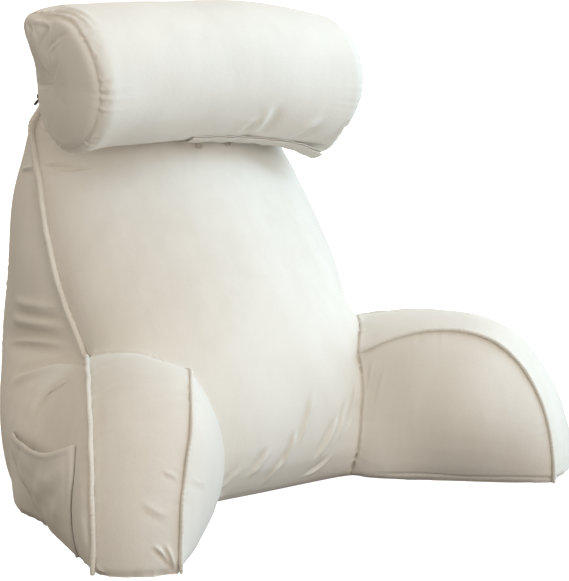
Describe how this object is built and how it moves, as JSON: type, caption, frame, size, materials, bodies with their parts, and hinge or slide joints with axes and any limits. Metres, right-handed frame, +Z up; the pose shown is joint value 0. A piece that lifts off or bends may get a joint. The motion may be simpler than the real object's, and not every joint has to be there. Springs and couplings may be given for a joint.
{
  "type": "reading pillow with arms",
  "caption": "Leaning reading pillow with splayed padded arms, a round neck roll buttoned along its top, piped seams and a side pocket.",
  "frame": {"origin": "on the flat base, near the middle of the footprint, on the line of symmetry", "axes": "+X to the right of someone facing the pillow, which is its longest extent; +Y towards its back; +Z up; the sitter faces -Y"},
  "size_m": [0.6676, 0.5587, 0.556],
  "materials": {
    "cover": "cream short-pile velvet",
    "piping": "the cover's cloth over a thin cord",
    "button": "small pearly buttons in the cloth's colour",
    "thread": "thread loops in the cloth's colour",
    "zip": "dark metal"
  },
  "bodies": {
    "root": {"back_cushion": "cover", "arm_left": "cover", "arm_right": "cover", "neck_roll": "cover", "roll_strip": "cover", "pocket_left": "cover", "welt_outer_left": "piping", "welt_outer_right": "piping", "welt_inner_left": "piping", "welt_inner_right": "piping", "button_1": "button", "button_2": "button", "button_3": "button", "button_4": "button", "button_5": "button", "loop_1": "thread", "loop_2": "thread", "loop_3": "thread", "loop_4": "thread", "loop_5": "thread", "zip_slider": "zip", "zip_pull": "zip"}
  },
  "joints": []
}
